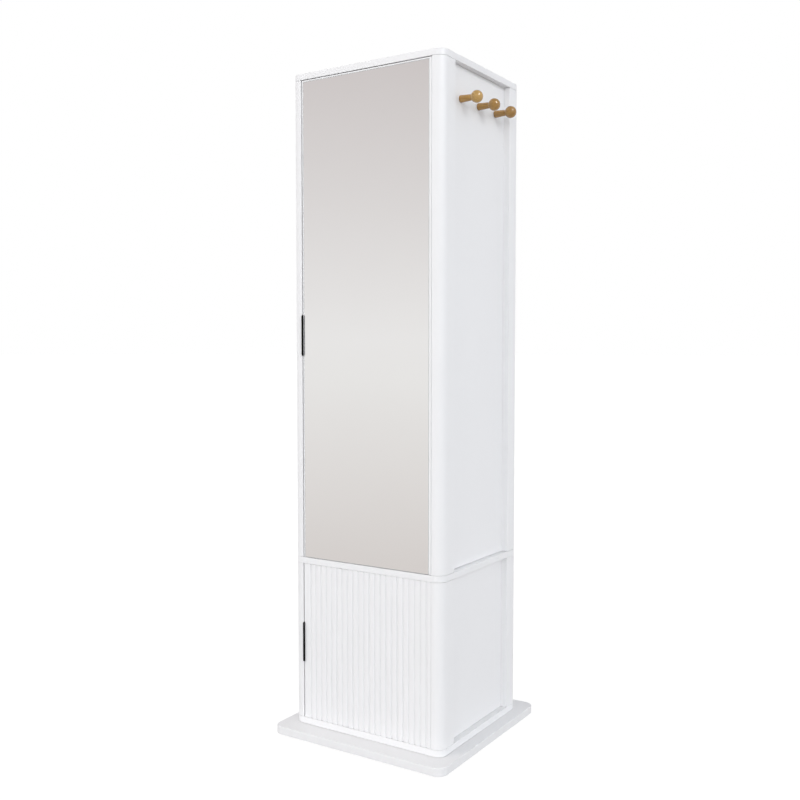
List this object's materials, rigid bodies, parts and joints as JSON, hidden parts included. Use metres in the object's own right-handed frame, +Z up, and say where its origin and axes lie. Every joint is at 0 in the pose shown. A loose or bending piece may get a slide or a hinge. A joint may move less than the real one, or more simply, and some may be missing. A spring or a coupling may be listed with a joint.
{
  "type": "revolving wardrobe cabinet",
  "caption": "Slim revolving cabinet on a flat base plate, with a mirrored upper door, a fluted lower door and turned wooden coat pegs on both sides.",
  "frame": {"origin": "on the floor, at the bottom centre, on the vertical axis that the cabinet turns about", "axes": "+Z up, -Y towards the front of the doors, +X to the right seen from the front, on the side of the door hinges"},
  "size_m": [0.538, 0.511, 1.715],
  "materials": {
    "white_lacquer": "satin white lacquer on board",
    "base_lacquer": "satin white lacquer on board",
    "mirror": "silvered float glass",
    "black_pull": "satin black",
    "beech": "turned and oiled, satin",
    "nickel": "nickel plated",
    "bearing_steel": "zinc plated",
    "white_plastic": "moulded, fine texture",
    "felt": "pressed felt"
  },
  "bodies": {
    "base": {"base_plate": "base_lacquer", "foot_pad_front_left": "felt", "foot_pad_front_right": "felt", "foot_pad_rear_left": "felt", "foot_pad_rear_right": "felt", "bearing_inner_ring": "bearing_steel"},
    "ball_cage": {"bearing_ball_cage": "bearing_steel"},
    "cabinet": {"bearing_outer_ring": "bearing_steel", "bottom_board": "white_lacquer", "mid_board": "white_lacquer", "top_board": "white_lacquer", "lower_post_front_left": "white_lacquer", "lower_post_front_right": "white_lacquer", "lower_post_rear_left": "white_lacquer", "lower_post_rear_right": "white_lacquer", "upper_post_front_left": "white_lacquer", "upper_post_front_right": "white_lacquer", "upper_post_rear_left": "white_lacquer", "upper_post_rear_right": "white_lacquer", "lower_side_panel_left": "white_lacquer", "lower_side_panel_right": "white_lacquer", "lower_back_panel": "white_lacquer", "upper_side_panel_left": "white_lacquer", "upper_side_panel_right": "white_lacquer", "upper_back_panel": "white_lacquer", "coat_peg_left_front": "beech", "coat_peg_left_middle": "beech", "coat_peg_left_rear": "beech", "coat_peg_right_front": "beech", "coat_peg_right_middle": "beech", "coat_peg_right_rear": "beech", "hanging_rail": "nickel", "rail_socket_left": "nickel", "rail_socket_right": "nickel", "lower_shelf": "white_lacquer", "shelf_pin_front_left": "nickel", "shelf_pin_front_right": "nickel", "shelf_pin_rear_left": "nickel", "shelf_pin_rear_right": "nickel", "upper_hinge_arm_low": "nickel", "upper_hinge_arm_middle": "nickel", "upper_hinge_arm_high": "nickel", "lower_hinge_arm_low": "nickel", "lower_hinge_arm_high": "nickel", "upper_catch": "white_plastic", "lower_catch": "white_plastic"},
    "upper_door": {"upper_door_panel": "white_lacquer", "mirror_glass": "mirror", "upper_door_pull": "black_pull", "upper_strike_plate": "nickel", "upper_hinge_cup_low": "nickel", "upper_hinge_cup_middle": "nickel", "upper_hinge_cup_high": "nickel"},
    "lower_door": {"lower_door_panel": "white_lacquer", "lower_door_pull": "black_pull", "lower_strike_plate": "nickel", "lower_hinge_cup_low": "nickel", "lower_hinge_cup_high": "nickel"}
  },
  "joints": [
    {"name": "cabinet_spin", "type": "hinge", "parent": "base", "child": "cabinet", "pos_m": [0, 0, 0.026], "axis": [0, 0, 1], "continuous": true},
    {"name": "ball_cage_spin", "type": "hinge", "parent": "base", "child": "ball_cage", "pos_m": [0, 0, 0.026], "axis": [0, 0, 1], "continuous": true},
    {"name": "upper_door_hinge", "type": "hinge", "parent": "cabinet", "child": "upper_door", "pos_m": [0.1935, -0.2035, 1.0837], "axis": [0, 0, 1], "range_deg": [0, 105]},
    {"name": "lower_door_hinge", "type": "hinge", "parent": "cabinet", "child": "lower_door", "pos_m": [0.1935, -0.2035, 0.2478], "axis": [0, 0, 1], "range_deg": [0, 105]}
  ],
  "couplings": [
    {"joint": "ball_cage_spin", "follows": "cabinet_spin", "ratio": 0.5}
  ]
}
